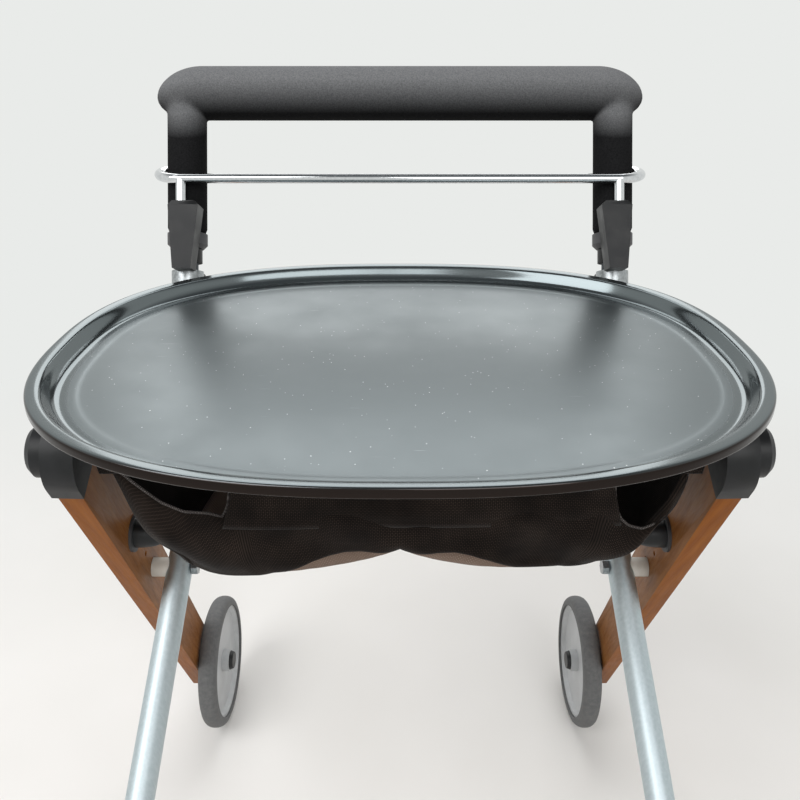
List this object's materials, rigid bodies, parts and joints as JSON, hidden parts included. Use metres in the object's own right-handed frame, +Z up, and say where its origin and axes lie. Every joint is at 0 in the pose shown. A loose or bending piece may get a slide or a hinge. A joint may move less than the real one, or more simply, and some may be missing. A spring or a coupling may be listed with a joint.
{
  "type": "indoor walker with tray",
  "caption": "Four-wheeled indoor walker with wooden rear legs, bent silver tubes, a leaning foam handle with a chrome brake loop, a lift-off oval tray and a cloth bag below.",
  "frame": {"origin": "on the floor, under the middle of the walker's box", "axes": "-Y to the front, where the castors are; +Y to the rear, where the handle is; +X to the right in the view from the front; +Z up"},
  "size_m": [0.5926, 0.616, 0.854],
  "materials": {
    "satin_aluminium": "satin anodised",
    "black_moulding": "fine-grained moulding",
    "grey_moulding": "fine-grained moulding",
    "grey_tube": "satin powder coat",
    "bright_steel": "zinc plated",
    "white_nylon": "natural nylon",
    "chrome_rod": "polished chrome",
    "black_foam": "closed-cell foam skin",
    "black_tray": "satin floor and gloss rim",
    "black_cloth": "coarse plain weave",
    "varnished_wood": "clear varnish",
    "grey_tyre": "soft solid rubber",
    "silver_rim": "silver satin moulding",
    "grey_steel": "powder coat"
  },
  "bodies": {
    "tube_frame": {"frame_tube_left": "satin_aluminium", "frame_tube_right": "satin_aluminium", "height_clamp_left": "bright_steel", "height_clamp_right": "bright_steel", "bar_clamp_left": "black_moulding", "bar_clamp_right": "black_moulding", "castor_socket_left": "black_moulding", "castor_socket_right": "black_moulding", "rear_bar": "bright_steel", "pivot_bolts": "bright_steel", "pivot_spacers": "white_nylon", "bag_front": "black_cloth", "bag_rear": "black_cloth"},
    "rear_legs": {"wooden_leg_left": "varnished_wood", "wooden_leg_right": "varnished_wood", "hub_bracket_left": "black_moulding", "hub_bracket_right": "black_moulding", "hub_caps": "black_moulding", "front_bar": "bright_steel", "lock_discs": "grey_moulding", "rear_axles": "bright_steel"},
    "handle": {"handle_tube": "grey_tube", "grip_foam": "black_foam", "grip_collars": "grey_moulding", "brake_socket_left": "black_moulding", "brake_socket_right": "black_moulding"},
    "brake_loop": {"brake_loop": "chrome_rod"},
    "tray_clips": {"tray_clips": "black_moulding"},
    "tray": {"tray": "black_tray"},
    "lock_knob_left": {"lock_knob_left": "black_moulding"},
    "height_knob_left": {"height_knob_left": "black_moulding"},
    "rear_wheel_left": {"rear_rim_left": "silver_rim", "rear_tyre_left": "grey_tyre", "rear_wheel_cap_left": "black_moulding"},
    "brake_arm_left": {"brake_arm_left": "grey_steel"},
    "castor_left": {"castor_fork_left": "grey_steel", "castor_axle_left": "bright_steel"},
    "front_wheel_left": {"front_rim_left": "silver_rim", "front_tyre_left": "grey_tyre"},
    "lock_knob_right": {"lock_knob_right": "black_moulding"},
    "height_knob_right": {"height_knob_right": "black_moulding"},
    "rear_wheel_right": {"rear_rim_right": "silver_rim", "rear_tyre_right": "grey_tyre", "rear_wheel_cap_right": "black_moulding"},
    "brake_arm_right": {"brake_arm_right": "grey_steel"},
    "castor_right": {"castor_fork_right": "grey_steel", "castor_axle_right": "bright_steel"},
    "front_wheel_right": {"front_rim_right": "silver_rim", "front_tyre_right": "grey_tyre"}
  },
  "joints": [
    {"name": "frame_fold", "type": "hinge", "parent": "tube_frame", "child": "rear_legs", "pos_m": [0, 0.03161, 0.40766], "axis": [-1, 0, 0], "range_deg": [0, 38]},
    {"name": "tray_tilt", "type": "hinge", "parent": "tube_frame", "child": "tray_clips", "pos_m": [0, 0.14701, 0.625], "axis": [-1, 0, 0], "range_deg": [0, 21]},
    {"name": "tray_lift", "type": "slide", "parent": "tray_clips", "child": "tray", "axis": [0, -0.34, 0.9404], "range_m": [0, 0.15]},
    {"name": "handle_slide", "type": "slide", "parent": "tube_frame", "child": "handle", "axis": [0, 0.4415, 0.8973], "range_m": [0, 0.1]},
    {"name": "brake_pull", "type": "slide", "parent": "handle", "child": "brake_loop", "axis": [0, 0.4415, 0.8973], "range_m": [-0.01, 0.014], "stiffness_N_per_m": 4000, "springref_m": 0.0009},
    {"name": "height_knob_turn_left", "type": "hinge", "parent": "tube_frame", "child": "height_knob_left", "pos_m": [-0.218, 0.18233, 0.65797], "axis": [0, 0.8973, -0.4415], "range_deg": [0, 360]},
    {"name": "lock_knob_turn_left", "type": "hinge", "parent": "rear_legs", "child": "lock_knob_left", "pos_m": [-0.24975, -0.01247, 0.48246], "axis": [0.998, 0.0324, -0.0549], "range_deg": [0, 360]},
    {"name": "rear_wheel_spin_left", "type": "hinge", "parent": "rear_legs", "child": "rear_wheel_left", "pos_m": [-0.252, 0.22, 0.088], "axis": [1, 0, 0], "continuous": true},
    {"name": "brake_arm_turn_left", "type": "hinge", "parent": "rear_legs", "child": "brake_arm_left", "pos_m": [-0.28034, 0.23064, 0.06994], "axis": [-0.998, -0.0324, 0.0549], "range_deg": [-8, 10.5]},
    {"name": "castor_swivel_left", "type": "hinge", "parent": "tube_frame", "child": "castor_left", "pos_m": [-0.233, -0.255, 0.2], "axis": [0, 0, 1], "continuous": true},
    {"name": "front_wheel_spin_left", "type": "hinge", "parent": "castor_left", "child": "front_wheel_left", "pos_m": [-0.233, -0.22, 0.088], "axis": [1, 0, 0], "continuous": true},
    {"name": "height_knob_turn_right", "type": "hinge", "parent": "tube_frame", "child": "height_knob_right", "pos_m": [0.218, 0.18233, 0.65797], "axis": [0, 0.8973, -0.4415], "range_deg": [0, 360]},
    {"name": "lock_knob_turn_right", "type": "hinge", "parent": "rear_legs", "child": "lock_knob_right", "pos_m": [0.24975, -0.01247, 0.48246], "axis": [-0.998, 0.0324, -0.0549], "range_deg": [0, 360]},
    {"name": "rear_wheel_spin_right", "type": "hinge", "parent": "rear_legs", "child": "rear_wheel_right", "pos_m": [0.252, 0.22, 0.088], "axis": [1, 0, 0], "continuous": true},
    {"name": "brake_arm_turn_right", "type": "hinge", "parent": "rear_legs", "child": "brake_arm_right", "pos_m": [0.28034, 0.23064, 0.06994], "axis": [-0.998, 0.0324, -0.0549], "range_deg": [-8, 10.5]},
    {"name": "castor_swivel_right", "type": "hinge", "parent": "tube_frame", "child": "castor_right", "pos_m": [0.233, -0.255, 0.2], "axis": [0, 0, 1], "continuous": true},
    {"name": "front_wheel_spin_right", "type": "hinge", "parent": "castor_right", "child": "front_wheel_right", "pos_m": [0.233, -0.22, 0.088], "axis": [1, 0, 0], "continuous": true}
  ],
  "couplings": [
    {"joint": "tray_tilt", "follows": "frame_fold", "ratio": 0.55},
    {"joint": "brake_arm_turn_left", "follows": "brake_pull", "rad_per_m": 12.5},
    {"joint": "brake_arm_turn_right", "follows": "brake_pull", "rad_per_m": 12.5}
  ]
}
